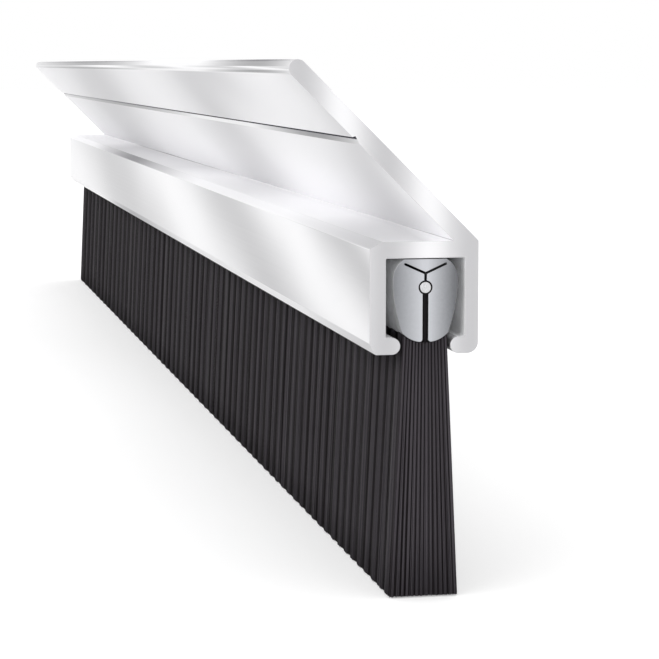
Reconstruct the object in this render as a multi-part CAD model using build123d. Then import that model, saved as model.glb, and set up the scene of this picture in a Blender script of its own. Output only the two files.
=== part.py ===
from build123d import *
import math
import os

# Brush seal strip: an aluminium carrier extrusion with a slide-in brush insert.
# Millimetres. X runs along the strip, +Z is up and the bristles hang down.
# The sections are drawn in Y and Z about the channel's centre plane, with height 0 at the backing's mouth.
# At the end every piece is moved so that the origin is the centre of the fixing face, which is the outer
# face of the flange.

# Strip
strip_length = 1000.0

# Backing of the brush insert, and the wire that the filaments are folded over
backing_width = 19.2
backing_height = 24.0
backing_shoulder_height = 5.7
backing_top_width = 12.6
backing_foot_width = 13.6
backing_foot_rise = 2.7
backing_mouth_radius = 0.8
slot_width = 1.7
wire_diameter = 3.2
wire_below_top = 8.2
loop_thickness = 0.45
neck_width = 0.75
neck_height = 4.1
relief_width = 0.65
relief_reach = 6.0
relief_cover = 1.4

# Bristles: filaments that widen from the foot of the backing to the tips and lie in ridges
trim = 75.0
tip_width = 21.2
ridge_pitch = 10.0
ridge_depth = 0.45
ridge_crest_share = 0.5
end_ridge_count = 14
end_ridge_depth = 0.35

# Carrier channel
front_wall = 4.8
back_wall = 4.0
web_thickness = 4.85
lip_thickness = 4.9
shoulder_bevel_width = 3.8
shoulder_bevel_height = 2.0
foot_bevel_width = 1.6
foot_bevel_height = 3.3
front_foot_radius = 0.8
back_foot_radius = 3.2
inner_corner_radius = 0.4

# Carrier flange
flange_angle = 45.0
flange_length = 75.0
flange_thickness = 5.2
groove_from_tip = 29.0
groove_width = 3.0
groove_depth = 0.8
groove_steep_run = 0.4

# Fits
seat_gap = 0.3
side_play = 2.1
lip_play = 0.45
lip_below_foot = 1.3
fibre_gap = 0.05

# Heights and half widths of the insert that follow from the sizes above
tip_height = -trim
tip_half = tip_width / 2
foot_half = backing_foot_width / 2
slot_half = slot_width / 2
seat_diameter = wire_diameter + 2 * loop_thickness
widest_height = backing_height - backing_shoulder_height
wire_height = backing_height - wire_below_top
fork_height = wire_height + neck_height
relief_end_height = backing_height - relief_cover
ridge_count = round(strip_length / ridge_pitch)

# Heights and faces of the channel, which follow from the insert and its fits
web_underside = backing_height + seat_gap
web_top = web_underside + web_thickness
lip_top = backing_foot_rise - lip_below_foot
lip_bottom = lip_top - lip_thickness
lip_middle = (lip_top + lip_bottom) / 2
channel_half = backing_width / 2 + side_play
front_face = -(channel_half + front_wall)
back_face = channel_half + back_wall

# Directions in the section: along the flange from its root corner, and out of its fixing face
lean = math.radians(flange_angle)
along = Vector(-math.cos(lean), math.sin(lean))
outward = Vector(math.sin(lean), math.cos(lean))
root_corner = Vector(back_face, web_top)
flat_run = flange_length - flange_thickness / 2
fixing_centre = root_corner + along * (flat_run / 2)


def flange_point(run, depth):
    """The section point at a run along the flange from its root and a depth below its fixing face."""
    return root_corner + along * run - outward * depth


def rectangle_between(left, right, bottom, top):
    """A rectangle of the section, given by its four sides."""
    return Pos((left + right) / 2, (bottom + top) / 2) * Rectangle(right - left, top - bottom)


def closed_face(points):
    """A face with straight sides through the points."""
    return make_face(Polyline(*points, close=True))


def along_strip(section, length=strip_length):
    """A section in Y and Z extruded over a length that is centred on the strip."""
    return extrude(Plane.YZ.offset(-length / 2) * section, length)


def placed(shape):
    """The shape moved so that the centre of the fixing face is the origin."""
    return Pos(0, -fixing_centre.X, -fixing_centre.Y) * shape


def channel_outline():
    """The channel's outer shape, with its bevelled front shoulder and foot and its round back foot."""
    outline = closed_face(
        [
            (front_face, lip_bottom + foot_bevel_height),
            (front_face, web_top - shoulder_bevel_height),
            (front_face + shoulder_bevel_width, web_top),
            (back_face, web_top),
            (back_face, lip_bottom),
            (front_face + foot_bevel_width, lip_bottom),
        ]
    )
    back_foot = outline.vertices().group_by(Axis.Y)[0].sort_by(Axis.X)[-1]
    outline = fillet(back_foot, back_foot_radius)
    front_foot = outline.vertices().group_by(Axis.Y)[0].sort_by(Axis.X)[0]
    return fillet(front_foot, front_foot_radius)


def channel_bore():
    """The space that the backing slides in, with the small corner radii of an extrusion."""
    bore = rectangle_between(-channel_half, channel_half, lip_top, web_underside)
    return fillet(bore.vertices(), inner_corner_radius)


def lip_opening():
    """The opening that the bristles pass through, between two lips with fully round ends."""
    radius = lip_thickness / 2
    centre = pack_half_width(lip_middle) + lip_play + radius
    opening = rectangle_between(-centre, centre, lip_bottom, lip_top)
    for side in (-1, 1):
        opening -= Pos(side * centre, lip_middle) * Circle(radius)
    return opening


def flange_section():
    """The flange, from the channel's top corner to its fully round tip."""
    inner_foot_run = flange_thickness / math.tan(lean)
    blade = closed_face(
        [
            flange_point(0, 0),
            flange_point(flat_run, 0),
            flange_point(flat_run, flange_thickness),
            flange_point(inner_foot_run, flange_thickness),
        ]
    )
    tip = flange_point(flat_run, flange_thickness / 2)
    return blade + Pos(tip.X, tip.Y) * Circle(flange_thickness / 2)


def drill_groove():
    """The groove in the flange's inner face: a gentle facet that ends at a steep one on the tip's side."""
    upper_edge = flange_length - groove_from_tip + groove_width / 2
    lower_edge = upper_edge - groove_width
    return closed_face(
        [
            flange_point(upper_edge, flange_thickness),
            flange_point(upper_edge - groove_steep_run, flange_thickness - groove_depth),
            flange_point(lower_edge, flange_thickness),
            flange_point(lower_edge, flange_thickness + groove_depth),
            flange_point(upper_edge, flange_thickness + groove_depth),
        ]
    )


def carrier():
    """The carrier extrusion: the channel with its lips, and the flange that fixes it."""
    channel = channel_outline() - channel_bore() - lip_opening()
    return along_strip(channel + flange_section() - drill_groove())


def backing_outline():
    """The barrel shape of the backing: arcs above and below its widest place, and a round bottom."""
    top_half = backing_top_width / 2
    edges = [
        Line((-top_half, backing_height), (top_half, backing_height)),
        Line((-slot_half, 0), (slot_half, 0)),
    ]
    for side in (-1, 1):
        widest = (side * backing_width / 2, widest_height)
        foot = (side * foot_half, backing_foot_rise)
        edges.append(TangentArc(widest, (side * top_half, backing_height), tangent=(0, 1)))
        edges.append(TangentArc(widest, foot, tangent=(0, -1)))
        edges.append(TangentArc((side * slot_half, 0), foot, tangent=(side, 0)))
    return make_face(edges)


def relief_slot(side):
    """One of the two sloping slots that let the backing's jaws close on the filaments."""
    start = Vector(0, fork_height)
    end = Vector(side * relief_reach, relief_end_height)
    middle = (start + end) / 2
    slope = math.degrees(math.atan2(end.Y - start.Y, end.X - start.X))
    return Pos(middle.X, middle.Y) * Rot(Z=slope) * SlotCenterToCenter((end - start).length, relief_width)


def backing():
    """The metal backing, with its filament slot, wire seat, neck and relief slots."""
    section = backing_outline()
    section -= rectangle_between(-slot_half, slot_half, -backing_foot_rise, wire_height)
    mouth = section.vertices().group_by(Axis.Y)[0]
    section = fillet(mouth, backing_mouth_radius)
    section -= Pos(0, wire_height) * Circle(seat_diameter / 2)
    section -= rectangle_between(-neck_width / 2, neck_width / 2, wire_height, fork_height)
    for side in (-1, 1):
        section -= relief_slot(side)
    return along_strip(section)


def core_wire():
    """The round wire that the filaments are folded over."""
    return along_strip(Pos(0, wire_height) * Circle(wire_diameter / 2))


def pack_half_width(height):
    """Half the width of the bristle pack at a height: it grows evenly from the backing to the tips."""
    share = (backing_foot_rise - height) / (backing_foot_rise - tip_height)
    return foot_half + (tip_half - foot_half) * share


def ridge_points(start, end, count, depth):
    """Points of the flat-topped ridges that stand out of a straight side of an anticlockwise outline."""
    step = (end - start) / count
    rise = Vector(step.Y, -step.X).normalized() * depth
    flank = step * (1 - ridge_crest_share) / 2
    points = []
    for index in range(count):
        foot = start + step * index
        points += [foot, foot + flank + rise, foot + step - flank + rise]
    return points


def pack_outline(height):
    """The pack's outline at a height, with ridges along its long sides and across its cut ends."""
    reach = strip_length / 2 - end_ridge_depth
    side = pack_half_width(height) - ridge_depth
    signs = ((-1, -1), (1, -1), (1, 1), (-1, 1))
    corners = [Vector(x * reach, y * side, height) for x, y in signs]
    points = ridge_points(corners[0], corners[1], ridge_count, ridge_depth)
    points += ridge_points(corners[1], corners[2], end_ridge_count, end_ridge_depth)
    points += ridge_points(corners[2], corners[3], ridge_count, ridge_depth)
    points += ridge_points(corners[3], corners[0], end_ridge_count, end_ridge_depth)
    return closed_face(points)


def folded_filaments():
    """The filaments in the backing: the fold round the wire, and the legs pressed together in the slot."""
    leg_half = slot_half - fibre_gap
    section = Pos(0, wire_height) * Circle(seat_diameter / 2 - fibre_gap)
    section += rectangle_between(-leg_half, leg_half, -backing_foot_rise, wire_height)
    section -= Pos(0, wire_height) * Circle(wire_diameter / 2 + fibre_gap)
    return along_strip(section, strip_length - 2 * end_ridge_depth)


def bristles():
    """The bristle pack below the backing, joined to the filaments that run up the slot to the wire."""
    pack = loft([pack_outline(tip_height), pack_outline(backing_foot_rise)], ruled=True)
    under_backing = along_strip(offset(backing_outline(), fibre_gap), strip_length + tip_width)
    return pack - under_backing + folded_filaments()


os.makedirs("parts", exist_ok=True)
pieces = {
    "carrier": carrier(),
    "backing": backing(),
    "core_wire": core_wire(),
    "bristles": bristles(),
}
for name, shape in pieces.items():
    export_step(placed(shape), f"parts/{name}.step")
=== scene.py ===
"""Brush seal strip: an aluminium carrier with a 45 degree flange, and a slide-in brush insert.

Sections are worked out in millimetres, with y across the strip from the channel's centre plane and z up
from the mouth of the brush's backing. placed() moves them to the frame, in metres. The near end of the strip
is the one with the highest x.
"""
import math

import bpy
import numpy as np
from mathutils import Euler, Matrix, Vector

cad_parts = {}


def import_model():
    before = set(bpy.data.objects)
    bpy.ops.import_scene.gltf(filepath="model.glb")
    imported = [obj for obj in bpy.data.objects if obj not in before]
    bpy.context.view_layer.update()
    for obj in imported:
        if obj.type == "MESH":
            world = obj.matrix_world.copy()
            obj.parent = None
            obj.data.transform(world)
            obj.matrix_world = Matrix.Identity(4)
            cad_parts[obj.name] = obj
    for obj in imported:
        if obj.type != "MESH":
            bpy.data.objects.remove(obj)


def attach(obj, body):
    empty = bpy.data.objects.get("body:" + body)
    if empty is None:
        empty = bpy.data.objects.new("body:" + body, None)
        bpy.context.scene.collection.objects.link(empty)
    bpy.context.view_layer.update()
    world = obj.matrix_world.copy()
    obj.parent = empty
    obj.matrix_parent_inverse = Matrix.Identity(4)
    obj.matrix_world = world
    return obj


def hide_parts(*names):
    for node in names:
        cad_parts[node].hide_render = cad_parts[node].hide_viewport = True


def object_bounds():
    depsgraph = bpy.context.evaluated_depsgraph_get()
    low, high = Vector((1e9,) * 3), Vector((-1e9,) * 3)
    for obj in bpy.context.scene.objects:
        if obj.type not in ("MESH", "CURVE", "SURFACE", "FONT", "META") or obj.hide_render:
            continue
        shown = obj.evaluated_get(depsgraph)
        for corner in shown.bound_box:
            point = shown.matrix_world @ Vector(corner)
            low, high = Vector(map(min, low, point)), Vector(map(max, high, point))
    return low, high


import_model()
cad_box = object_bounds()

# Strip, in millimetres, as all sizes down to the camera's
STRIP_LENGTH = 1000.0
CUT_ROUND = 0.11

# Backing and wire
BACKING_HALF = 9.6
BACKING_TOP = 24.0
BACKING_WIDEST = 18.3
BACKING_TOP_HALF = 6.3
FOOT_HALF = 6.8
FOOT_RISE = 2.7
MOUTH_RADIUS = 0.8
SLOT_HALF = 0.85
WIRE_RADIUS = 1.6
WIRE_HEIGHT = 15.8
SEAT_RADIUS = 2.05
NECK_HALF = 0.375
FORK_HEIGHT = 19.9
RELIEF_HALF = 0.325
RELIEF_REACH = 6.0
RELIEF_END = 22.6
BOTTOM_RADIUS = ((FOOT_HALF - SLOT_HALF) ** 2 + FOOT_RISE ** 2) / (2 * FOOT_RISE)

# Bristles
TRIM = 75.0
TIP_HALF = 10.6
RIDGE_COUNT = 60
RIDGE_GROWTH = 3.0
RIDGE_DEPTH = 0.45
END_RIDGE_COUNT = 14
END_RIDGE_DEPTH = 0.35
PACK_REACH = STRIP_LENGTH / 2 - END_RIDGE_DEPTH

# Ridges of the long faces, in shares of their pitch
RIDGE_GAP_HALF = 0.11
RIDGE_GAP_GROWTH = 0.07
RIDGE_FLANK = 0.26
RIDGE_UNEVENNESS = 0.06

# Filaments: tufts, radii, and how deep the first layer lies and each next one behind it
TUFT_WIDTH = 3.3
SIDE_RADIUS = 0.21
END_RADIUS = 0.19
TIP_RADIUS = 0.26
LOOP_RADIUS = 0.105
SIDE_DEPTH = 0.22
SIDE_LAYER = 0.16
END_DEPTH = 0.25
END_LAYER = 0.28
LOOP_DEPTH = 0.3
LOOP_LAYER = 0.24

# How far the bristles' core stays inside the pack: at its sides, at its ends and tips, and under the backing
CORE_INSET = 0.35
CORE_BACK = 0.4
CORE_GAP = 0.12

# Filaments in the backing
FOLD_PLAY = 0.1
WIRE_PLAY = 0.04
FOLD_REACH = 497.0
FOLD_ROUND = 0.02

# Channel of the carrier
CHANNEL_HALF = 11.7
FRONT_FACE = -16.5
BACK_FACE = 15.7
WEB_UNDERSIDE = 24.3
WEB_TOP = 29.15
LIP_TOP = 1.4
LIP_BOTTOM = -3.5
LIP_PLAY = 0.45
SHOULDER_BEVEL = (3.8, 2.0)
FOOT_BEVEL = (1.6, 3.3)
FRONT_FOOT_RADIUS = 0.8
BACK_FOOT_RADIUS = 3.2
INNER_RADIUS = 0.4
OUTER_RADIUS = 0.5

# Flange of the carrier, whose groove is given by runs from the flange's root
FLANGE_LENGTH = 75.0
FLANGE_THICKNESS = 5.2
FLAT_RUN = FLANGE_LENGTH - FLANGE_THICKNESS / 2
GROOVE_LOWER = 44.5
GROOVE_SCORE = 46.15
GROOVE_BOTTOM = 47.1
GROOVE_UPPER = 47.5
GROOVE_DEPTH = 0.8

# What two full rounds leave of the side between them, and how near two faces count as one
ROUND_SLACK = 0.001
FACE_SLACK = 0.05

# Camera and light: the picture's width and the lens in pixels, places in metres and turns in degrees
PICTURE_WIDTH = 659.0
LENS_PIXELS = 2256.04
SENSOR_WIDTH = 36.0
CAMERA_PLACE = (1.128277, -0.145088, 0.025061)
CAMERA_FALL = 6.719951
CAMERA_SWING = 11.405162
FILL_LIGHT = 0.80

rng = np.random.default_rng(75)


# Places

DIAGONAL = math.sqrt(0.5)


def flange_point(run, depth):
    """A section point at a run along the flange from its root and a depth below its outer face."""
    return BACK_FACE - (run + depth) * DIAGONAL, WEB_TOP + (run - depth) * DIAGONAL


FIXING_CENTRE = np.array([0.0, *flange_point(FLAT_RUN / 2, 0)])


def placed(x, y, z):
    """Points of the section, in millimetres, as an array of places in the frame, in metres."""
    points = np.stack(np.broadcast_arrays(x, y, z), axis=-1).reshape(-1, 3)
    return (points - FIXING_CENTRE) / 1000.0


def unit(vectors):
    """The vectors divided by their lengths."""
    return vectors / np.linalg.norm(vectors, axis=-1, keepdims=True)


# Objects and meshes


def linked(name, data):
    """A new object of the scene that holds the data."""
    thing = bpy.data.objects.new(name, data)
    bpy.context.scene.collection.objects.link(thing)
    return thing


def new_object(name, points, faces, material, body, node):
    """An object made of the points and faces, which stands for a node of the frame and rides on a body."""
    mesh = bpy.data.meshes.new(name)
    mesh.from_pydata(points.tolist(), [], faces)
    mesh.materials.append(material)
    mesh.update()
    piece = linked(name, mesh)
    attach(piece, body)
    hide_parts(node)
    return piece


def between_rings(rings, count):
    """The quads between neighbouring rings of count points each, where every ring is closed in itself."""
    ring = np.arange(count)
    step = (ring + 1) % count
    start = (np.arange(rings - 1) * count)[:, None]
    corners = [start + ring, start + step, start + count + step, start + count + ring]
    return np.stack(corners, axis=2).reshape(-1, 4)


# Sections


def arc(centre, radius, start, end, steps):
    """Points on a circle: centre + radius (cos a, sin a), with a even from start to end, in degrees."""
    angles = np.radians(np.linspace(start, end, steps + 1))
    normals = np.stack([np.cos(angles), np.sin(angles)], axis=1)
    return np.asarray(centre) + radius * normals, normals


def rounded_section(corners):
    """A closed section with a round at each corner, and its outward normals.

    For a corner whose sides turn by the angle t, the round of radius r starts r tan(t / 2) before the corner
    and ends as far behind it. Its centre lies r along the normal of the first side from where it starts.
    """
    places = np.array([corner[:2] for corner in corners], float)
    points, normals = [], []
    for index, (_, _, radius, steps) in enumerate(corners):
        here = places[index]
        into = unit(here - places[index - 1])
        out = unit(places[(index + 1) % len(places)] - here)
        turn = math.atan2(into[0] * out[1] - into[1] * out[0], into @ out)
        back = radius * math.tan(abs(turn) / 2)
        side = math.copysign(1.0, turn)
        inward = np.array([-into[1], into[0]]) * side
        centre = here - into * back + inward * radius
        first = math.degrees(math.atan2(-inward[1], -inward[0]))
        round_points, round_normals = arc(centre, radius, first, first + math.degrees(turn), steps)
        points.append(round_points)
        normals.append(round_normals * side)
    return np.concatenate(points), np.concatenate(normals)


def tangent_arc(start, end, heading, steps):
    """Points and outward normals of the circle that leaves start along a heading and runs to end.

    Its centre lies on the normal of the heading at start, at the distance
    |end - start|^2 / (2 n (end - start)), where n is the unit normal on the left.
    """
    start, end, heading = np.asarray(start), np.asarray(end), unit(np.asarray(heading, float))
    left = np.array([-heading[1], heading[0]])
    chord = end - start
    radius = (chord @ chord) / (2 * (left @ chord))
    centre = start + left * radius
    first = start - centre
    last = end - centre
    begin = math.degrees(math.atan2(first[1], first[0]))
    sweep = math.degrees(math.atan2(first[0] * last[1] - first[1] * last[0], first @ last))
    return arc(centre, abs(radius), begin, begin + sweep, steps)


def pack_half_width(z):
    """Half the bristle pack's width at a height: even growth from the backing's foot to the tips."""
    return FOOT_HALF + (TIP_HALF - FOOT_HALF) * (FOOT_RISE - z) / (FOOT_RISE + TRIM)


def carrier_section():
    """The carrier's closed outline with its metal on the left, as corners with their radii and steps."""
    lip_reach = pack_half_width((LIP_TOP + LIP_BOTTOM) / 2) + LIP_PLAY
    lip = ((LIP_TOP - LIP_BOTTOM) / 2 - ROUND_SLACK, 12)
    tip = (FLANGE_THICKNESS / 2 - ROUND_SLACK, 14)
    inner = (INNER_RADIUS, 5)
    outer = (OUTER_RADIUS, 4)
    sharp, sharpest, worn = 0.12, 0.1, 0.3
    score_share = (GROOVE_SCORE - GROOVE_LOWER) / (GROOVE_BOTTOM - GROOVE_LOWER)
    inner_face = FLANGE_THICKNESS
    return rounded_section(
        [
            (FRONT_FACE + FOOT_BEVEL[0], LIP_BOTTOM, FRONT_FOOT_RADIUS, 5),
            (-lip_reach, LIP_BOTTOM, *lip),
            (-lip_reach, LIP_TOP, *lip),
            (-CHANNEL_HALF, LIP_TOP, *inner),
            (-CHANNEL_HALF, WEB_UNDERSIDE, *inner),
            (CHANNEL_HALF, WEB_UNDERSIDE, *inner),
            (CHANNEL_HALF, LIP_TOP, *inner),
            (lip_reach, LIP_TOP, *lip),
            (lip_reach, LIP_BOTTOM, *lip),
            (BACK_FACE, LIP_BOTTOM, BACK_FOOT_RADIUS, 14),
            (BACK_FACE, WEB_TOP, *outer),
            (*flange_point(FLANGE_LENGTH, 0), *tip),
            (*flange_point(FLANGE_LENGTH, inner_face), *tip),
            (*flange_point(GROOVE_UPPER, inner_face), sharp, 3),
            (*flange_point(GROOVE_BOTTOM, inner_face - GROOVE_DEPTH), sharpest, 3),
            (*flange_point(GROOVE_SCORE, inner_face - GROOVE_DEPTH * score_share), 0, 0),
            (*flange_point(GROOVE_LOWER, inner_face), worn, 3),
            (*flange_point(inner_face, inner_face), sharp, 2),
            (FRONT_FACE + SHOULDER_BEVEL[0], WEB_TOP, *outer),
            (FRONT_FACE, WEB_TOP - SHOULDER_BEVEL[1], *outer),
            (FRONT_FACE, LIP_BOTTOM + FOOT_BEVEL[1], *outer),
        ]
    )


def right_half_of_backing():
    """The right half of the backing's outline, from the middle of the fork, by its slot, to its flat top.

    It is a chain of arcs and straight runs: the fork, the relief slot's round end, the neck, the seat, the
    slot's round mouth, the bottom arc, the two arcs of the barrel's side and the top. Each entry is a pair of
    points and outward normals.
    """
    slope = math.atan2(RELIEF_END - FORK_HEIGHT, RELIEF_REACH)
    tilt = math.degrees(slope)
    across = np.array([[-math.sin(slope), math.cos(slope)]])
    relief_rise = RELIEF_HALF / math.cos(slope)
    fork = np.array([[0.0, FORK_HEIGHT + relief_rise]])
    neck = np.array([[NECK_HALF, FORK_HEIGHT + NECK_HALF * math.tan(slope) - relief_rise]])
    seat_start = -math.degrees(math.acos(SLOT_HALF / SEAT_RADIUS))
    seat_end = math.degrees(math.acos(NECK_HALF / SEAT_RADIUS))

    # the mouth's round, tangent to the slot's side and to the bottom arc from the inside
    mouth_rise = BOTTOM_RADIUS - math.sqrt((BOTTOM_RADIUS - MOUTH_RADIUS) ** 2 - MOUTH_RADIUS ** 2)
    meet = math.degrees(math.atan2(mouth_rise - BOTTOM_RADIUS, MOUTH_RADIUS))
    foot_angle = math.degrees(math.atan2(FOOT_RISE - BOTTOM_RADIUS, FOOT_HALF - SLOT_HALF))

    widest = (BACKING_HALF, BACKING_WIDEST)
    relief, relief_normals = arc((RELIEF_REACH, RELIEF_END), RELIEF_HALF, 90 + tilt, -90 + tilt, 8)
    seat, seat_normals = arc((0, WIRE_HEIGHT), SEAT_RADIUS, seat_end, seat_start, 22)
    mouth = arc((SLOT_HALF + MOUTH_RADIUS, mouth_rise), MOUTH_RADIUS, 180, 360 + meet, 6)
    bottom = arc((SLOT_HALF, BOTTOM_RADIUS), BOTTOM_RADIUS, meet, foot_angle, 14)
    lower, lower_normals = tangent_arc(widest, (FOOT_HALF, FOOT_RISE), (0, -1), 16)
    upper, upper_normals = tangent_arc(widest, (BACKING_TOP_HALF, BACKING_TOP), (0, 1), 14)
    to_slot = np.array([[-1.0, 0.0]])
    chain = [
        (fork, -across),
        (relief, -relief_normals),
        (neck, across),
        (neck, to_slot),
        (seat[:1], to_slot),
        (seat, -seat_normals),
        (seat[-1:], to_slot),
        mouth,
        bottom,
        (lower[::-1], np.abs(lower_normals[::-1]) * [1, -1]),
        (upper[1:], np.abs(upper_normals[1:])),
        (upper[-1:], np.array([[0.0, 1.0]])),
    ]
    return np.concatenate([c[0] for c in chain]), np.concatenate([c[1] for c in chain])


def backing_section():
    """The backing's closed outline with its metal on the left: the right half, then it mirrored."""
    points, normals = right_half_of_backing()
    mirror = np.array([-1.0, 1.0])
    return (
        np.concatenate([points, points[::-1] * mirror]),
        np.concatenate([normals, normals[::-1] * mirror]),
    )


def fold_section():
    """The filaments in the backing as one outline: a ring round the wire that is open into two pressed legs.

    The outside is the seat's circle and the slot's sides, drawn in by 0.1. The inside is the wire's circle,
    grown by 0.04, and the legs' seam.
    """
    leg = SLOT_HALF - FOLD_PLAY
    outer = SEAT_RADIUS - FOLD_PLAY
    start = -math.degrees(math.acos(leg / outer))
    ring, ring_normals = arc((0, WIRE_HEIGHT), outer, start, 180 - start, 40)
    inner, inner_normals = arc((0, WIRE_HEIGHT), WIRE_RADIUS + WIRE_PLAY, 269.9, -89.9, 40)
    bottom, seam = -0.4, 0.02
    points = [
        np.array([[leg, bottom]]),
        ring,
        np.array([[-leg, bottom], [-leg, bottom], [-seam, bottom], [-seam, bottom]]),
        inner,
        np.array([[seam, bottom], [seam, bottom], [leg, bottom]]),
    ]
    normals = [
        np.array([[1.0, 0.0]]),
        ring_normals,
        np.array([[-1.0, 0.0], [0.0, -1.0], [0.0, -1.0], [1.0, 0.0]]),
        -inner_normals,
        np.array([[-1.0, 0.0], [0.0, -1.0], [0.0, -1.0]]),
    ]
    return np.concatenate(points), np.concatenate(normals)


def extrusion(name, section, material, body, node, edge=CUT_ROUND, half=STRIP_LENGTH / 2):
    """A section carried along the strip, with a small round where it is cut at both ends.

    Ring k stands at x = half - edge (1 - sin t) with t from 0 to 90 degrees, and there the section is drawn
    in by edge (1 - cos t). The normal is the section's normal times cos t plus the strip's direction times
    sin t, so flat faces stay flat and rounds stay smooth. Where a corner has two normals n1 and n2, its
    point is drawn in along (n1 + n2) / (1 + n1 n2), so the corner stays closed.
    """
    outline, outward = section
    inward = -outward
    for turn in (1, -1):
        beside, other = np.roll(outline, turn, axis=0), np.roll(outward, turn, axis=0)
        twin = np.linalg.norm(beside - outline, axis=1) < 1e-6
        mitre = -(outward + other) / (1 + np.sum(outward * other, axis=1, keepdims=True)).clip(0.2)
        inward = np.where(twin[:, None], mitre, inward)
    turns = np.radians([0.0, 30.0, 60.0, 90.0])
    stations = half - edge * (1 - np.sin(turns))
    x = np.concatenate([-stations[::-1], stations])
    draw_in = edge * (1 - np.cos(turns))
    draw_in = np.concatenate([draw_in[::-1], draw_in])[:, None, None]
    sine = np.concatenate([-np.sin(turns)[::-1], np.sin(turns)])[:, None, None]
    rings = outline[None] + inward[None] * draw_in
    points = placed(x[:, None], rings[..., 0], rings[..., 1])
    ahead = np.broadcast_to(sine, rings[..., :1].shape)
    normals = np.concatenate([ahead, outward[None] * np.sqrt(1 - sine ** 2)], axis=2).reshape(-1, 3)

    count = len(outline)
    last_ring = (len(x) - 1) * count
    caps = [list(range(count))[::-1], list(range(last_ring, last_ring + count))]
    faces = between_rings(len(x), count).tolist() + caps
    piece = new_object(name, points, faces, material, body, node)
    corners = np.zeros(len(piece.data.loops), int)
    piece.data.loops.foreach_get("vertex_index", corners)
    piece.data.normals_split_custom_set(normals[corners].tolist())
    return piece


# Faces that get a finish or a painted shade of their own


def finish_faces(piece, material, chosen):
    """Gives one more material to the faces that chosen(centres, normals) picks.

    The centres are places in millimetres, with y and z as in the sections.
    """
    mesh = piece.data
    mesh.materials.append(material)
    finishes = np.zeros(len(mesh.polygons), np.int32)
    mesh.polygons.foreach_get("material_index", finishes)
    centres = np.zeros(len(mesh.polygons) * 3)
    normals = np.zeros(len(mesh.polygons) * 3)
    mesh.polygons.foreach_get("center", centres)
    mesh.polygons.foreach_get("normal", normals)
    centres = centres.reshape(-1, 3) * 1000 + FIXING_CENTRE
    finishes[chosen(centres, normals.reshape(-1, 3))] = len(mesh.materials) - 1
    mesh.polygons.foreach_set("material_index", finishes)


def along_the_strip(centres, normals):
    """The faces that run along the strip."""
    return np.abs(normals[:, 0]) < 0.3


def inside_channel(centres, normals):
    """The faces of the channel's bore: within its walls, above its lips and not on a cut end."""
    y, z = np.abs(centres[:, 1]), centres[:, 2]
    inside = (y < CHANNEL_HALF + FACE_SLACK) & (z > LIP_TOP - FACE_SLACK) & (z < WEB_UNDERSIDE + FACE_SLACK)
    return inside & along_the_strip(centres, normals)


def in_the_score(centres, normals):
    """The faces at the bottom of the flange's groove and up its steep side."""
    y, z = centres[:, 1] - BACK_FACE, centres[:, 2] - WEB_TOP
    run, depth = (z - y) * DIAGONAL, -(y + z) * DIAGONAL
    groove = (run > GROOVE_SCORE) & (run < GROOVE_UPPER)
    inner_half = (depth > FLANGE_THICKNESS / 2) & (depth < FLANGE_THICKNESS - FACE_SLACK)
    return groove & inner_half & along_the_strip(centres, normals)


def inside_slots(centres, normals):
    """The faces of the backing's slots, seat and neck, and the part of its underside that the pack hides."""
    y, z = np.abs(centres[:, 1]), centres[:, 2]
    between = (y < BACKING_TOP_HALF) & (z > MOUTH_RADIUS) & (z < BACKING_TOP - 0.5)
    return between & along_the_strip(centres, normals)


# Bristles


def backing_underside(y):
    """The height of the backing's round underside at a distance from the centre plane."""
    run = np.clip(np.abs(y) - SLOT_HALF, 0, FOOT_HALF - SLOT_HALF)
    return BOTTOM_RADIUS - np.sqrt(BOTTOM_RADIUS ** 2 - run ** 2)


ridge_drift = rng.normal(0, RIDGE_UNEVENNESS, RIDGE_COUNT + 1)
ridge_tone = rng.normal(0, RIDGE_UNEVENNESS, RIDGE_COUNT + 1)


def smooth(value):
    """The smooth step 3v^2 - 2v^3, for a value held between 0 and 1."""
    value = np.clip(value, 0, 1)
    return value * value * (3 - 2 * value)


def from_near(x):
    """How far x lies along the pack, from 0 at the near end to 1 at the far end."""
    return (PACK_REACH - x) / (2 * PACK_REACH)


def ridge_number(x):
    """Which ridge lies at x, counted from the near end: count log(1 + (g - 1) d) / log g.

    d grows from 0 at the near end to 1 at the far end, so the ridges that the filaments cling together in get
    g times wider from end to end. A small drift makes them uneven.
    """
    number = RIDGE_COUNT * np.log(1 + (RIDGE_GROWTH - 1) * from_near(x)) / math.log(RIDGE_GROWTH)
    return number + np.interp(number, np.arange(RIDGE_COUNT + 1), ridge_drift)


def long_ridges(x):
    """How far the long faces stand out at x, from 0 in a groove to 1 on a crest.

    The groove's share of the pitch grows from 0.22 at the near end to 0.36 at the far end, and its two flanks
    are 0.26 each.
    """
    number = ridge_number(x)
    from_groove = np.abs(number - np.round(number))
    return smooth((from_groove - RIDGE_GAP_HALF - RIDGE_GAP_GROWTH * from_near(x)) / RIDGE_FLANK)


def long_shade(x):
    """The long faces' painted shade at x: dark in the grooves, with a slightly different tone for each ridge.
    """
    tone = np.interp(ridge_number(x), np.arange(RIDGE_COUNT + 1), ridge_tone)
    return np.clip(long_ridges(x) * (1 + tone), 0, 1)


def end_shade(share):
    """The painted shade of a cut end at a share of the pack's width, from 0 to 1: dark between narrow ridges
    side by side.

    With f the place within a ridge, from 0 to 1, it is the smooth step of (0.42 - |f - 0.5|) / 0.32.
    """
    number = share * END_RIDGE_COUNT
    return smooth((0.42 - np.abs(number - np.floor(number) - 0.5)) / 0.32)


def set_shade(piece, shade):
    """Writes the shade of each vertex to the attribute that the bristle material reads."""
    attribute = piece.data.attributes.new("shade", "FLOAT", "POINT")
    attribute.data.foreach_set("value", np.asarray(shade, np.float32).ravel())


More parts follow.
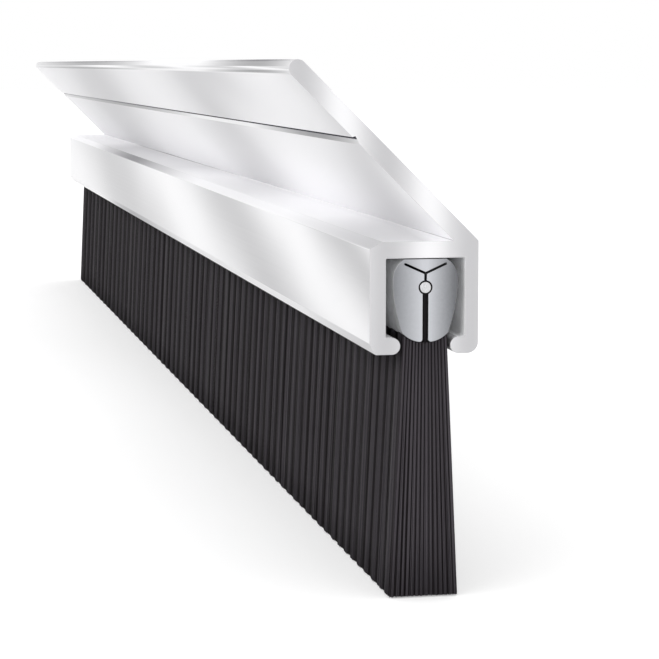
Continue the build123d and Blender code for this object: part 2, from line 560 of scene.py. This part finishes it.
def core_point(x, share, rise, inset):
    """A point of the core at x, at shares of its width and height, inset from the pack's side."""
    bottom = -TRIM + CORE_BACK
    side_z = bottom + (FOOT_RISE - CORE_GAP - bottom) * rise
    y = (pack_half_width(side_z) - inset) * (2 * share - 1)
    z = bottom + (backing_underside(y) - CORE_GAP - bottom) * rise
    return np.stack(np.broadcast_arrays(x, y, z), axis=2)


def bristle_core(material, tips_material):
    """The dense inside of the pack, a closed body just below the outer filaments.

    Each station x has a ring of points: up one side, along under the backing, down the other side and back
    across the tips. A side lies half width(z) - 0.35 - ridge depth (1 - ridge(x)) from the centre plane. The
    cut ends are grids across the width and the height, and their edges are merged with the last rings.
    """
    stations = np.linspace(-PACK_REACH + CORE_BACK, PACK_REACH - CORE_BACK, 801)
    rise = np.linspace(0, 1, 9)
    across = np.linspace(0, 1, 25)
    inset = CORE_INSET + RIDGE_DEPTH * (1 - long_ridges(stations))
    x = stations[:, None]
    sides = [
        core_point(x, 0.0, rise[None], inset[:, None]),
        core_point(x, across[None, 1:-1], 1.0, inset[:, None]),
        core_point(x, 1.0, rise[None, ::-1], inset[:, None]),
        core_point(x, across[None, -2:0:-1], 0.0, inset[:, None]),
    ]
    rings = np.concatenate(sides, axis=1)
    count = rings.shape[1]
    tips_start = count - sides[3].shape[1] - 1
    points = [rings.reshape(-1, 3)]
    # The core carries the ridges' painted shade, dimmed to 0.8 of it on its sides and 0.6 on its ends
    shade = [np.broadcast_to(long_shade(stations)[:, None] * 0.8, rings.shape[:2]).ravel()]
    faces = [between_rings(len(stations), count)]
    tips = [np.tile(np.arange(count) >= tips_start, len(stations) - 1)]

    columns, rows = len(across), len(rise)
    corner = (np.arange(columns - 1)[:, None] * rows + np.arange(rows - 1)[None]).ravel()
    cap_quads = np.stack([corner, corner + rows, corner + rows + 1, corner + 1], axis=1)
    cap_shade = np.repeat(end_shade(across) * 0.6, rows)
    for end, order in ((0, -1), (-1, 1)):
        faces.append(cap_quads[:, ::order] + sum(len(part) for part in points))
        points.append(core_point(stations[end], across[:, None], rise[None], inset[end]).reshape(-1, 3))
        shade.append(cap_shade)
        tips.append(np.zeros(len(cap_quads), bool))

    points, shade = np.concatenate(points), np.concatenate(shade)
    _, kept, merged = np.unique(np.round(points, 4), axis=0, return_index=True, return_inverse=True)
    quads = merged.ravel()[np.concatenate(faces)].tolist()
    piece = new_object("bristle_core", placed(*points[kept].T), quads, material, "brush_insert", "bristles")
    piece.data.materials.append(tips_material)
    piece.data.polygons.foreach_set("material_index", np.concatenate(tips).astype(np.int32))
    set_shade(piece, shade[kept])
    return piece


def filaments(name, paths, radii, shade, material, sides=3):
    """Thin tapered prisms along many paths at once, as one mesh.

    paths has the shape (filament, level, 3) and radii (filament, level). At each level a ring of points
    stands around the path: centre + radius (cos a e1 + sin a e2), where e1 and e2 are square to the path's
    mean direction. Each filament is turned by its own angle, so no two catch the light alike.
    """
    count, levels = paths.shape[:2]
    along = unit(np.gradient(paths, axis=1))
    helper = np.broadcast_to(np.array([1.0, 0.0, 0.0]), along.shape)
    e1 = unit(helper - along * np.sum(helper * along, axis=2, keepdims=True))
    e2 = np.cross(along, e1)
    spin = rng.random((count, 1, 1)) * 2 * np.pi
    angle = (spin + np.arange(sides)[None, None] * 2 * np.pi / sides)[..., None]
    around = np.cos(angle) * e1[:, :, None] + np.sin(angle) * e2[:, :, None]
    points = paths[:, :, None] + radii[:, :, None, None] * around

    start = np.arange(count)[:, None, None] * levels * sides
    faces = (start + between_rings(levels, sides)[None]).reshape(-1, 4).tolist()
    first_end = np.arange(sides)[::-1]
    last_end = np.arange(sides) + (levels - 1) * sides
    faces += (start[:, 0] + first_end).tolist() + (start[:, 0] + last_end).tolist()
    piece = new_object(name, placed(*points.reshape(-1, 3).T), faces, material, "brush_insert", "bristles")
    set_shade(piece, np.broadcast_to(shade[:, None, None], (count, levels, sides)))
    piece.data.polygons.foreach_set("use_smooth", np.ones(len(faces), bool))
    return piece


def tapered(radius, taper, count):
    """The radii of count filaments: the radius times a taper over the levels, each up to 15% off."""
    return radius * np.array(taper)[None] * (0.85 + 0.3 * rng.random(count))[:, None]


def side_filaments(name, side, material, count=6400):
    """The outer filaments of one long face, in two layers.

    Filament i hangs from x_i, even along the strip with a jitter, down the pack's side, with
    y = side (half width(z) - depth) and z from the backing's foot to the trim. It sways along the strip with
    the square of the fall, mostly together with the others of its tuft, and bows with the sine of the fall.
    """
    fall = np.array([0.0, 0.3, 0.6, 0.85, 1.0])
    margin = 0.3
    x = np.linspace(-PACK_REACH + margin, PACK_REACH - margin, count) + rng.normal(0, 0.05, count)
    layer = np.arange(count) % 2
    depth = SIDE_DEPTH + RIDGE_DEPTH * (1 - long_ridges(x)) + layer * SIDE_LAYER + rng.random(count) * 0.08
    tuft = np.round((x + PACK_REACH) / TUFT_WIDTH).astype(int)
    sway = rng.normal(0, 0.35, tuft.max() + 1)[tuft] + rng.normal(0, 0.18, count)
    tip = -TRIM + np.abs(rng.normal(0, 0.18, count))
    top = FOOT_RISE - 0.15
    z = top + (tip - top)[:, None] * fall[None]
    bow = rng.normal(0, 0.06, count)[:, None] * np.sin(fall * np.pi)[None]
    y = side * (pack_half_width(z) - depth[:, None] + bow)
    swayed = np.clip(x[:, None] + sway[:, None] * fall[None] ** 2, -PACK_REACH, PACK_REACH)
    radii = tapered(SIDE_RADIUS, (0.8, 1.0, 1.0, 0.95, 0.8), count)
    shade = long_shade(x) * (0.75 + 0.5 * rng.random(count))
    return filaments(name, np.stack([swayed, y, z], axis=2), radii, shade, material)


def end_filaments(name, end, material, columns=74, layers=6):
    """The filaments of one cut end, in layers behind each other.

    Column s in 0 to 1 hangs at y = (2 s - 1) (half width(z) - 0.35), so the columns fan out to the tips.
    Layer k stands 0.25 + 0.28 k behind the cut, and grooves lie 0.35 deeper than ridges.
    """
    count = columns * layers
    fall = np.array([0.0, 0.25, 0.5, 0.75, 1.0])
    share = np.tile(np.linspace(0.012, 0.988, columns), layers) + rng.normal(0, 0.003, count)
    share = np.clip(share, 0.01, 0.99)
    layer = np.repeat(np.arange(layers), columns)
    shade = end_shade(share)
    inset = END_DEPTH + END_RIDGE_DEPTH * (1 - shade) + layer * END_LAYER + rng.random(count) * 0.1
    from_side = 0.35
    flat = 2 * share - 1
    top = backing_underside(flat * (pack_half_width(FOOT_RISE) - from_side)) - 0.2
    tip = -TRIM + np.abs(rng.normal(0, 0.2, count))
    z = top[:, None] + (tip - top)[:, None] * fall[None]
    sway = rng.normal(0, 0.12, count)[:, None] * fall[None] ** 2
    y = flat[:, None] * (pack_half_width(z) - from_side) + sway
    x = end * (STRIP_LENGTH / 2 - inset)[:, None] + 0 * z
    radii = tapered(END_RADIUS, (0.85, 1.0, 1.0, 1.0, 0.85), count)
    tone = shade * (1.0 + 0.5 * rng.random(count))
    return filaments(name, np.stack([x, y, z], axis=2), radii, tone, material)


def tip_filaments(name, material, stations=980, columns=20):
    """The trimmed ends on the pack's underside: short filaments that stand out of the core.

    They stand on a jittered grid, x even along the strip and y = (2 s - 1) times the pack's half width at
    the tips less 0.5 and the depth of the groove, with s even in 0 to 1. Every second column is moved along
    by half a step.
    """
    count = stations * columns
    reach = PACK_REACH - 0.8
    length = 1.0
    margin = 0.5
    row, column = np.divmod(np.arange(count), columns)
    step = 2 * reach / stations
    x = -reach + step * (row + 0.25 + 0.5 * (column % 2)) + rng.normal(0, 0.12, count)
    share = (column + 0.5) / columns + rng.normal(0, 0.004, count)
    y = (2 * share - 1) * (TIP_HALF - margin - RIDGE_DEPTH * (1 - long_ridges(x)))
    foot = np.stack([x, y, np.full(count, -TRIM + length)], axis=1)
    tip = np.stack([x, y, -TRIM + np.abs(rng.normal(0, 0.13, count))], axis=1)
    radii = np.repeat((TIP_RADIUS + 0.1 * rng.random(count))[:, None], 2, axis=1)
    shade = 0.35 + 0.65 * rng.random(count)
    return filaments(name, np.stack([foot, tip], axis=1), radii, shade, material)


def loop_filaments(name, end, material, layers=10):
    """The filaments that show at a cut end inside the backing, folded over the wire.

    Each follows the slot upwards at y = leg, then a circle round the wire of radius rho, and the slot
    downwards at y = -leg. Round the wire the path is wire centre + rho (cos a, sin a).
    """
    count = 2 * layers
    rho = np.tile(WIRE_RADIUS + np.array([0.13, 0.34]), layers) + rng.normal(0, 0.012, count)
    leg = np.tile(np.array([0.22, 0.58]), layers) + rng.normal(0, 0.03, count)
    depth = np.repeat(np.arange(layers), 2) * LOOP_LAYER + LOOP_DEPTH + rng.random(count) * 0.08
    start = -np.arccos(np.clip(leg / rho, -1, 1))
    angle = start[:, None] + (np.pi - 2 * start)[:, None] * np.linspace(0, 1, 31)[None]
    circle_y = rho[:, None] * np.cos(angle)
    circle_z = WIRE_HEIGHT + rho[:, None] * np.sin(angle)
    lowest = -0.5
    rise_z = lowest + (circle_z[:, :1] - 0.5 - lowest) * np.linspace(0, 1, 5)[None]
    right_y = leg[:, None] + 0 * rise_z
    y = np.concatenate([right_y, circle_y, -right_y[:, ::-1]], axis=1)
    z = np.concatenate([rise_z, circle_z, rise_z[:, ::-1]], axis=1)
    x = end * (STRIP_LENGTH / 2 - depth)[:, None] + 0 * z
    radii = np.full(z.shape, LOOP_RADIUS)
    return filaments(name, np.stack([x, y, z], axis=2), radii, rng.random(count) * 0.5, material, sides=5)


# Nodes of materials and of the world


def cool_grey(level):
    """A grey with the faint blue of bare aluminium."""
    return level + 0.003, level, level + 0.013


class Nodes:
    """Short ways to add nodes to a node tree and to link them."""

    def __init__(self, tree):
        self.tree = tree

    def add(self, kind, **settings):
        """A new node of a kind, with its settings."""
        node = self.tree.nodes.new(kind)
        for key, value in settings.items():
            setattr(node, key, value)
        return node

    def give(self, socket, value):
        """Gives a socket a number or a colour, or links a node's output to it."""
        if isinstance(value, bpy.types.NodeSocket):
            self.tree.links.new(value, socket)
        elif isinstance(value, tuple):
            socket.default_value = (*value, 1)
        else:
            socket.default_value = value

    def math(self, operation, *values):
        """One step of arithmetic on numbers or outputs."""
        node = self.add("ShaderNodeMath", operation=operation)
        for socket, value in zip(node.inputs, values):
            self.give(socket, value)
        return node.outputs[0]

    def mirrored_path(self, path):
        """1 for the rays that a shiny or a clear surface sends on, and 0 for the others."""
        return self.math("MAXIMUM", path["Is Glossy Ray"], path["Is Transmission Ray"])


class Material(Nodes):
    """A new material, with short ways to work out its shader's values from places on the object."""

    def __init__(self, name):
        self.material = bpy.data.materials.new(name)
        self.material.use_nodes = True
        super().__init__(self.material.node_tree)
        self.shader = self.tree.nodes["Principled BSDF"]

    def set(self, socket, value):
        """Gives a socket of the shader a value or an output."""
        self.give(self.shader.inputs[socket], value)

    def place(self, scale=(1, 1, 1)):
        """The place on the object in metres, times a scale."""
        mapping = self.add("ShaderNodeMapping")
        mapping.inputs["Scale"].default_value = scale
        self.give(mapping.inputs["Vector"], self.add("ShaderNodeTexCoord").outputs["Object"])
        return mapping.outputs["Vector"]

    def axes(self, vector):
        """The X, Y and Z of a vector."""
        node = self.add("ShaderNodeSeparateXYZ")
        self.give(node.inputs[0], vector)
        return node.outputs

    def dot(self, vector, direction):
        """The length of a vector along a direction."""
        node = self.add("ShaderNodeVectorMath", operation="DOT_PRODUCT")
        self.give(node.inputs[0], vector)
        node.inputs[1].default_value = direction
        return node.outputs["Value"]

    def noise(self, scale, detail, roughness=0.5):
        """Soft noise from 0 to 1 on the place times a scale, drawn out along an axis of small scale."""
        node = self.add("ShaderNodeTexNoise")
        self.give(node.inputs["Vector"], self.place(scale))
        self.give(node.inputs["Scale"], 1.0)
        self.give(node.inputs["Detail"], detail)
        self.give(node.inputs["Roughness"], roughness)
        return node.outputs["Fac"]

    def wave(self, distance, period, phase):
        """A wave along a distance: 0.5 + 0.5 cos(2 pi (distance - phase) / period)."""
        turns = self.math("MULTIPLY", self.math("SUBTRACT", distance, phase), 2 * math.pi / period)
        return self.math("MULTIPLY_ADD", self.math("COSINE", turns), 0.5, 0.5)

    def log_distance(self, distance, scale):
        """A distance that grows ever more slowly: log(1 + distance / scale)."""
        return self.math("LOGARITHM", self.math("MULTIPLY_ADD", distance, 1 / scale, 1.0), math.e)

    def ramp(self, factor, *stops):
        """A colour or a number read off between stops, each a place from 0 to 1 and its value."""
        node = self.add("ShaderNodeValToRGB")
        elements = node.color_ramp.elements
        while len(elements) < len(stops):
            elements.new(0.5)
        for element, (position, value) in zip(elements, stops):
            element.position = position
            element.color = (*value, 1) if isinstance(value, tuple) else (value, value, value, 1)
        self.give(node.inputs["Fac"], factor)
        return node.outputs["Color"]

    def greys(self, factor, *stops):
        """Cool greys read off between stops."""
        return self.ramp(factor, *[(position, cool_grey(level)) for position, level in stops])

    def mix(self, factor, first, second):
        """The first colour where the factor is 0 and the second where it is 1."""
        node = self.add("ShaderNodeMix", data_type="RGBA")
        sockets = [socket for socket in node.inputs if socket.enabled]
        for socket, value in zip(sockets, (factor, first, second)):
            self.give(socket, value)
        return [socket for socket in node.outputs if socket.enabled][0]

    def bump(self, height, strength, distance):
        """Bumps of a height from 0 to 1 times a distance in metres."""
        node = self.add("ShaderNodeBump")
        self.give(node.inputs["Strength"], strength)
        self.give(node.inputs["Distance"], distance)
        self.give(node.inputs["Height"], height)
        self.set("Normal", node.outputs["Normal"])


# Metals


def extruded_aluminium():
    """Bright extruded aluminium, with die lines along the strip and saw lines across its cut ends.

    Its base colour carries a painted sheen: soft bands of painted reflection, a wave along a distance d,
    which each kind of face turns into greys of its own, lighter or darker as painted light and shade for the
    way it faces. On walls and leaning faces d = log(1 + a / 213 mm), so the bands slant and grow wider along
    the strip. There a = 283.9 mm - X - 6.83 Y - 4 Z + 400 mm max(v, 0) - 195.8 mm w, where v and w are the Y
    and the Z of the way a face looks. It is held above -100 mm, and on leaning faces it is divided by
    1 + 1.7 c, where c is how many metres a point lies below the line 68 mm up the flange. On level faces and
    bevels d = X. On the upper flange's other faces d = log(1 + b / 120 mm), where b is the distance from the
    near end. On the cut ends d = Y. A slow noise of up to 60 mm either way makes the first two drift. Level
    faces also get a painted highlight: a white wedge at the near end, next to the flange's root.
    """
    n = Material("extruded_aluminium")
    normal = n.add("ShaderNodeNewGeometry").outputs["True Normal"]
    facing = n.axes(normal)
    place = n.place()
    where = n.axes(place)

    def faces_along(value):
        """1 where a part of a face's direction makes up nearly all of it, and 0 elsewhere."""
        return n.math("GREATER_THAN", n.math("ABSOLUTE", value), 0.985)

    cut_end = n.math("GREATER_THAN", n.math("ABSOLUTE", facing["X"]), 0.9)
    wall = faces_along(facing["Y"])
    leaning = faces_along(n.dot(normal, (0, DIAGONAL, DIAGONAL)))
    level = faces_along(facing["Z"])
    foot = n.math("LESS_THAN", facing["Z"], -0.2)
    run = n.math("ADD", n.dot(place, (0, -DIAGONAL, DIAGONAL)), FLAT_RUN / 2 / 1000)
    upper = n.math("GREATER_THAN", run, 0.040)
    from_end = n.math("SUBTRACT", STRIP_LENGTH / 2 / 1000, where["X"])

    # Painted sheen: soft bands of painted reflection in the base colour
    drift = n.math("MULTIPLY", n.math("SUBTRACT", n.noise((5, 14, 14), 1.0), 0.5), 0.12)
    slanted = n.math("SUBTRACT", 0.2839, n.math("ADD", n.dot(place, (1, 6.83, 4.0)), drift))
    slanted = n.math("MULTIPLY_ADD", n.math("MAXIMUM", facing["Y"], 0.0), 0.4, slanted)
    slanted = n.math("MAXIMUM", n.math("MULTIPLY_ADD", facing["Z"], -0.1958, slanted), -0.1)
    below_tip = n.math("MAXIMUM", n.math("SUBTRACT", 0.068, run), 0.0)
    widening = n.math("MULTIPLY_ADD", n.math("MULTIPLY", below_tip, leaning), 1.7, 1.0)
    flat_painted_sheen = n.wave(n.log_distance(n.math("DIVIDE", slanted, widening), 0.213), 0.72, 0.318)
    strip_painted_sheen = n.wave(n.math("ADD", where["X"], drift), 0.70, 0.25)
    upper_painted_sheen = n.wave(n.log_distance(from_end, 0.12), 1.415, 1.112)
    end_painted_sheen = n.wave(where["Y"], 0.0254, 0.0110)

    # Painted highlight: a white wedge on the level faces at the near end, next to the flange's root
    off_root = n.math("MULTIPLY_ADD", n.math("SUBTRACT", 0.0182, where["Y"]), 1 / 0.009, -1.0)
    painted_gleam = n.math("MULTIPLY", n.math("MULTIPLY_ADD", from_end, 1 / 0.08, off_root), -2.5)
    painted_gleam = n.math("MINIMUM", n.math("MAXIMUM", painted_gleam, 0.0), 1.0)

    # Each kind of face reads the painted sheen off greys of its own: painted light and shade for the way it
    # faces
    wall_colour = n.greys(flat_painted_sheen, (0.0, 0.54), (0.5, 0.75), (1.0, 0.98))
    leaning_colour = n.greys(flat_painted_sheen, (0.0, 0.73), (0.5, 0.87), (1.0, 0.98))
    level_colour = n.greys(strip_painted_sheen, (0.0, 0.77), (0.3, 0.78), (0.7, 0.98))
    bevel_colour = n.greys(strip_painted_sheen, (0.0, 0.30), (0.2, 0.55), (0.8, 0.95))
    foot_colour = n.greys(strip_painted_sheen, (0.0, 0.33), (0.2, 0.64), (0.6, 0.98))
    upper_colour = n.greys(upper_painted_sheen, (0.0, 0.23), (0.5, 0.60), (0.85, 0.94))
    end_colour = n.greys(end_painted_sheen, (0.0, 0.52), (0.5, 0.65), (1.0, 0.84))
    level_colour = n.mix(painted_gleam, level_colour, cool_grey(0.98))
    colour = n.mix(foot, bevel_colour, foot_colour)
    colour = n.mix(level, colour, level_colour)
    colour = n.mix(upper, colour, upper_colour)
    colour = n.mix(wall, colour, wall_colour)
    colour = n.mix(leaning, colour, leaning_colour)
    n.set("Base Color", n.mix(cut_end, colour, end_colour))

    die_lines = n.noise((0.6, 900, 900), 4.0, 0.6)
    saw_lines = n.noise((1, 60, 1500), 4.0, 0.6)
    dull = n.math("MAXIMUM", leaning, n.math("GREATER_THAN", facing["Z"], 0.8))
    matt = n.math("MAXIMUM", dull, n.math("MAXIMUM", cut_end, foot))
    side_rough = n.math("MULTIPLY_ADD", dull, 0.4, n.math("MULTIPLY_ADD", die_lines, 0.12, 0.24))
    end_rough = n.math("MULTIPLY_ADD", saw_lines, 0.2, 0.45)
    n.set("Metallic", n.math("MULTIPLY_ADD", matt, -0.45, 0.6))
    n.set("Specular IOR Level", 0.3)
    n.set("Roughness", n.mix(cut_end, side_rough, end_rough))
    n.bump(n.mix(cut_end, die_lines, saw_lines), 0.12, 0.00008)
    return n.material


def backing_metal():
    """The backing's duller metal, with lines along it and sawn ends, and painted shade: darker towards its
    sides, more so towards +Y.
    """
    n = Material("backing_aluminium")
    # Painted shade across the cut end: lightest at the middle, darker towards the sides and more so towards
    # +Y
    across = n.math("SUBTRACT", n.axes(n.place())["Y"], -FIXING_CENTRE[1] / 1000)
    painted_shade_off_centre = n.math("MULTIPLY_ADD", across, 0.12, n.math("ABSOLUTE", across))
    lines = n.noise((1.0, 1100, 1100), 4.0, 0.6)
    tone = n.math("MULTIPLY_ADD", n.math("SUBTRACT", lines, 0.5), 0.0012, painted_shade_off_centre)
    middle, halfway, side = (0.575, 0.585, 0.615), (0.385, 0.393, 0.415), (0.17, 0.174, 0.185)
    share = n.math("DIVIDE", tone, BACKING_HALF / 1000)
    n.set("Base Color", n.ramp(share, (0.08, middle), (0.5, halfway), (1.0, side)))
    n.set("Metallic", 1.0)
    n.set("Roughness", n.math("MULTIPLY_ADD", lines, 0.15, 0.3))
    n.bump(lines, 0.15, 0.00008)
    return n.material


def mill_finish(name, colour, along=((0.0, 1.0), (1.0, 1.0))):
    """Untreated metal as it leaves the die: greyer and more matt, with soft lines along the strip.

    along, when given, paints light and shade over the first 100 mm behind a cut end: it says how much of the
    colour the metal has at shares of them.
    """
    n = Material(name)
    lines = n.noise((1.5, 700, 700), 4.0, 0.6)
    from_middle = n.math("ABSOLUTE", n.axes(n.place())["X"])
    from_end = n.math("SUBTRACT", STRIP_LENGTH / 2 / 1000, from_middle)
    share = n.ramp(n.math("MULTIPLY", from_end, 10.0), *along)
    tone = n.math("MULTIPLY", share, n.math("MULTIPLY_ADD", lines, 0.12, 0.94))
    n.set("Base Color", n.ramp(tone, (0.0, 0.0), (1.0, colour)))
    n.set("Metallic", 0.2)
    n.set("Roughness", n.math("MULTIPLY_ADD", lines, 0.2, 0.5))
    n.bump(lines, 0.15, 0.00008)
    return n.material


def groove_painted_shade():
    """The groove's bottom and steep side: painted shade, dark at the near end and fading to a light grey at
    the far end.
    """
    n = Material("groove_painted_shade")
    along = n.math("SUBTRACT", 0.45, n.axes(n.place())["X"])
    shade_fade = n.math("MULTIPLY_ADD", n.noise((8, 900, 900), 3.0, 0.6), 0.1, along)
    n.set("Base Color", n.greys(shade_fade, (0.3, 0.04), (0.55, 0.15), (0.8, 0.45)))
    n.set("Specular IOR Level", 0.05)
    n.set("Roughness", 0.8)
    return n.material


def wire_steel():
    """Bright drawn wire: faint drawing lines along it and a clean cropped end."""
    n = Material("drawn_wire")
    lines = n.noise((4, 2500, 2500), 3.0)
    n.set("Base Color", n.ramp(lines, (0.3, (0.58, 0.58, 0.59)), (0.7, (0.78, 0.78, 0.79))))
    n.set("Metallic", 1.0)
    n.set("Roughness", n.math("MULTIPLY_ADD", lines, 0.12, 0.26))
    n.bump(lines, 0.1, 0.00005)
    return n.material


# Filament materials


def bristle_black(name, lightness):
    """Black nylon filaments: the shade attribute gives each its tone, with painted shade in the ridges'
    grooves, and fine lines break its gloss.
    """
    n = Material(name)
    shade = n.add("ShaderNodeAttribute", attribute_name="shade").outputs["Fac"]
    lines = n.noise((2200, 2200, 12), 2.0)
    tone = n.math("MULTIPLY", shade, n.math("MULTIPLY_ADD", lines, 0.6, 0.7))
    # Painted shade: filaments in the grooves get the dark colour and those on the crests the light one
    groove = tuple(lightness * c for c in (0.0079, 0.0061, 0.0071))
    crest = tuple(lightness * c for c in (0.0475, 0.0429, 0.0487))
    n.set("Base Color", n.ramp(tone, (0.0, groove), (1.0, crest)))
    n.set("Specular IOR Level", 0.12)
    n.set("Roughness", n.math("MULTIPLY_ADD", lines, 0.2, 0.42))
    n.bump(lines, 0.2, 0.0001)
    return n.material


def bristle_tips():
    """The trimmed underside between the filament tips: small dark cells, close together."""
    n = Material("filament_tips")
    cells = n.add("ShaderNodeTexVoronoi")
    n.give(cells.inputs["Scale"], 1.0)
    n.give(cells.inputs["Vector"], n.place((1900, 1900, 200)))
    distance = cells.outputs["Distance"]
    n.set("Base Color", n.ramp(distance, (0.15, (0.032, 0.029, 0.032)), (0.5, 0.003)))
    n.set("Specular IOR Level", 0.08)
    n.set("Roughness", 0.6)
    n.bump(n.math("SUBTRACT", 1.0, distance), 0.6, 0.0003)
    return n.material


# Object

aluminium = extruded_aluminium()
backing_finish = backing_metal()
wire_finish = wire_steel()
bristle_finish = bristle_black("black_filament", 1.0)
# The cut ends' filaments get a copy 1.5 times lighter: painted light on the ends
painted_light_end_finish = bristle_black("end_filament", 1.5)
tips_finish = bristle_tips()

carrier = extrusion("carrier_extrusion", carrier_section(), aluminium, "carrier_body", "carrier")
finish_faces(carrier, mill_finish("mill_aluminium", (0.97, 0.972, 0.98)), inside_channel)
# The groove's bottom and steep side get painted shade
finish_faces(carrier, groove_painted_shade(), in_the_score)

backing = extrusion("backing_extrusion", backing_section(), backing_finish, "brush_insert", "backing")
# The backing's flanks get painted light and shade near each cut end: dark at the cut, brightest 12 mm in, and
# half as bright from 80 mm on
backing_painted_sheen = ((0.0, 0.4), (0.12, 1.0), (0.8, 0.5))
finish_faces(backing, mill_finish("mill_backing", (0.94, 0.95, 0.965), backing_painted_sheen), along_the_strip)
# The slots, seat and neck get a near black colour: painted shade where little light gets in
finish_faces(backing, mill_finish("slot_painted_shade", (0.09, 0.09, 0.095)), inside_slots)

wire_outline, wire_normals = arc((0, WIRE_HEIGHT), WIRE_RADIUS, 0, 360, 48)
extrusion("wire", (wire_outline[:-1], wire_normals[:-1]), wire_finish, "brush_insert", "core_wire")

fold = extrusion(
    "folded_filaments", fold_section(), bristle_finish, "brush_insert", "bristles", FOLD_ROUND, FOLD_REACH
)
set_shade(fold, np.full(len(fold.data.vertices), 0.25))
bristle_core(bristle_finish, tips_finish)
side_filaments("front_filaments", -1, bristle_finish)
side_filaments("back_filaments", 1, bristle_finish)
tip_filaments("tip_filaments", bristle_finish)
end_filaments("near_end_filaments", 1, painted_light_end_finish)
end_filaments("far_end_filaments", -1, painted_light_end_finish)
loop_filaments("near_end_loops", 1, bristle_finish)
loop_filaments("far_end_loops", -1, bristle_finish)

# Stage, light and camera


def stage():
    """A pale floor under the tips, which the camera and reflections see as white outside the shadow."""
    floor_z = cad_box[0][2] - 0.0003
    half = 12.0
    mesh = bpy.data.meshes.new("floor")
    corners = [(-half, -half, floor_z), (half, -half, floor_z), (half, half, floor_z), (-half, half, floor_z)]
    mesh.from_pydata(corners, [], [(0, 1, 2, 3)])
    floor = linked("floor", mesh)
    n = Material("floor_paint")
    n.set("Base Color", (0.88, 0.88, 0.88))
    n.set("Roughness", 0.9)
    n.set("Specular IOR Level", 0.0)
    n.set("Emission Color", (1, 1, 1))
    path = n.add("ShaderNodeLightPath").outputs
    direct = n.math("MULTIPLY", path["Is Camera Ray"], 0.32)
    n.set("Emission Strength", n.math("MULTIPLY_ADD", n.mirrored_path(path), 0.05, direct))
    mesh.materials.append(n.material)


def world():
    """A white surround: as a background and in reflections it is white, and as light it is a soft fill."""
    surround = bpy.data.worlds.new("studio")
    bpy.context.scene.world = surround
    surround.use_nodes = True
    n = Nodes(surround.node_tree)
    background = n.tree.nodes["Background"]
    path = n.add("ShaderNodeLightPath").outputs
    seen = n.math("MAXIMUM", path["Is Camera Ray"], n.mirrored_path(path))
    n.give(background.inputs["Color"], (1, 1, 1))
    n.give(background.inputs["Strength"], n.math("MULTIPLY_ADD", seen, 1 - FILL_LIGHT, FILL_LIGHT))


def soft_sun(name, source, spread, strength):
    """A sun lamp that shines from a direction, spread over that many degrees of the sky."""
    lamp = bpy.data.lights.new(name, "SUN")
    lamp.angle = math.radians(spread)
    lamp.energy = strength
    linked(name, lamp).rotation_euler = Vector(source).to_track_quat("Z", "Y").to_euler()


def camera():
    """The picture's viewpoint: in front of the near end, a little above it and to its front side."""
    lens = bpy.data.cameras.new("camera")
    lens.sensor_width = SENSOR_WIDTH
    lens.lens = LENS_PIXELS * SENSOR_WIDTH / PICTURE_WIDTH
    lens.clip_start = 0.01
    thing = linked("camera", lens)
    thing.location = CAMERA_PLACE
    thing.rotation_euler = Euler((math.radians(90 - CAMERA_FALL), 0, math.radians(90 - CAMERA_SWING)), "XYZ")
    bpy.context.scene.camera = thing


stage()
world()
camera()
soft_sun("key", (0.5, -1.0, 0.25), 60, 0.92)
soft_sun("top", (0.0, 0.1, 1.0), 100, 0.35)
soft_sun("front", (1.0, -0.23, 0.13), 12, 0.6)
bpy.context.scene.view_settings.view_transform = "Standard"
